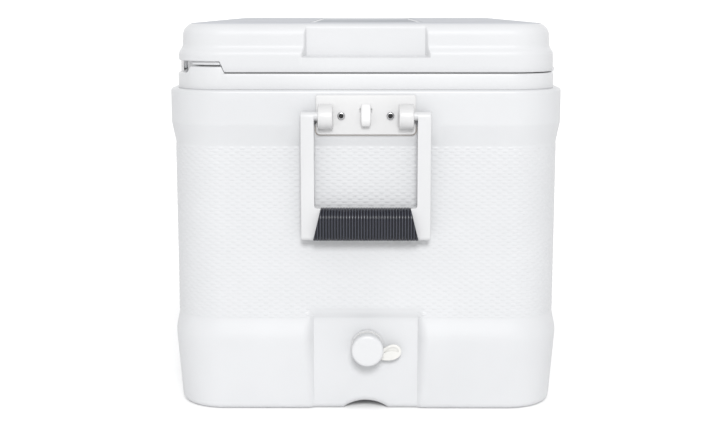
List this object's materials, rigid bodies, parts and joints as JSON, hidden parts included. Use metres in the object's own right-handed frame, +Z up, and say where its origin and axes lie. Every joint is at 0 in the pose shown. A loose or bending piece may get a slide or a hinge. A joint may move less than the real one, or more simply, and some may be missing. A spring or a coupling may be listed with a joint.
{
  "type": "insulated cooler chest",
  "caption": "White insulated cooler chest with a hinged lid, swing-up bail handles with ribbed rubber grips, snap latches and a threaded drain cap.",
  "frame": {"origin": "centre of the base, on the surface it stands on", "axes": "+X along the chest's length towards the drain end, -Y to the front with the latches, +Y to the hinges, +Z up"},
  "size_m": [0.752, 0.44, 0.434],
  "materials": {
    "shell_plastic": "satin",
    "lid_plastic": "satin",
    "liner_plastic": "satin",
    "bracket_plastic": "satin",
    "handle_plastic": "satin",
    "drain_plastic": "satin",
    "tether_plastic": "satin",
    "anchor_plastic": "matte",
    "foam": "matte",
    "grip_rubber": "satin",
    "black_rubber": "matte",
    "stainless_steel": "polished",
    "hinge_steel": "satin"
  },
  "bodies": {
    "cooler_body": {"outer_shell": "shell_plastic", "body_foam": "foam", "inner_liner": "liner_plastic", "handle_anchors": "anchor_plastic", "handle_bracket_right": "bracket_plastic", "handle_bracket_left": "bracket_plastic", "bracket_screws_right": "stainless_steel", "bracket_screws_left": "stainless_steel", "hinge_body_leaves": "hinge_steel", "hinge_pins": "stainless_steel", "hinge_body_screws": "stainless_steel", "latch_keepers": "bracket_plastic", "latch_keeper_screws": "stainless_steel", "drain_fitting": "drain_plastic", "drain_washer": "black_rubber", "drain_nut": "drain_plastic", "drain_tether": "tether_plastic"},
    "lid": {"lid_shell": "lid_plastic", "lid_foam": "foam", "lid_liner": "liner_plastic", "hinge_lid_leaves": "hinge_steel", "hinge_lid_screws": "stainless_steel", "latch_brackets": "bracket_plastic", "latch_bracket_screws": "stainless_steel", "latch_pins": "stainless_steel"},
    "handle_right": {"handle_bail_right": "handle_plastic", "handle_grip_right": "grip_rubber"},
    "handle_left": {"handle_bail_left": "handle_plastic", "handle_grip_left": "grip_rubber"},
    "latch_right": {"latch_lever_right": "bracket_plastic"},
    "latch_left": {"latch_lever_left": "bracket_plastic"},
    "cap_carrier": {"tether_cap_ring": "tether_plastic"},
    "cap": {"drain_cap": "drain_plastic", "cap_seal": "black_rubber"}
  },
  "joints": [
    {"name": "lid_hinge", "type": "hinge", "parent": "cooler_body", "child": "lid", "pos_m": [0, 0.216, 0.3802], "axis": [-1, 0, 0], "range_deg": [0, 100]},
    {"name": "handle_right_swing", "type": "hinge", "parent": "cooler_body", "child": "handle_right", "pos_m": [0.363, 0, 0.3345], "axis": [0, -1, 0], "range_deg": [0, 170]},
    {"name": "handle_left_swing", "type": "hinge", "parent": "cooler_body", "child": "handle_left", "pos_m": [-0.363, 0, 0.3345], "axis": [0, 1, 0], "range_deg": [0, 170]},
    {"name": "latch_right_lift", "type": "hinge", "parent": "lid", "child": "latch_right", "pos_m": [0.19, -0.216, 0.396], "axis": [-1, 0, 0], "range_deg": [0, 110]},
    {"name": "latch_left_lift", "type": "hinge", "parent": "lid", "child": "latch_left", "pos_m": [-0.19, -0.216, 0.396], "axis": [-1, 0, 0], "range_deg": [0, 110]},
    {"name": "cap_travel", "type": "slide", "parent": "cooler_body", "child": "cap_carrier", "axis": [1, 0, 0], "range_m": [0, 0.01105]},
    {"name": "cap_turn", "type": "hinge", "parent": "cap_carrier", "child": "cap", "pos_m": [0.36, 0.002, 0.074], "axis": [1, 0, 0], "range_deg": [0, 1800]}
  ],
  "couplings": [
    {"joint": "cap_travel", "follows": "cap_turn", "m_per_rad": 0.00035153}
  ]
}
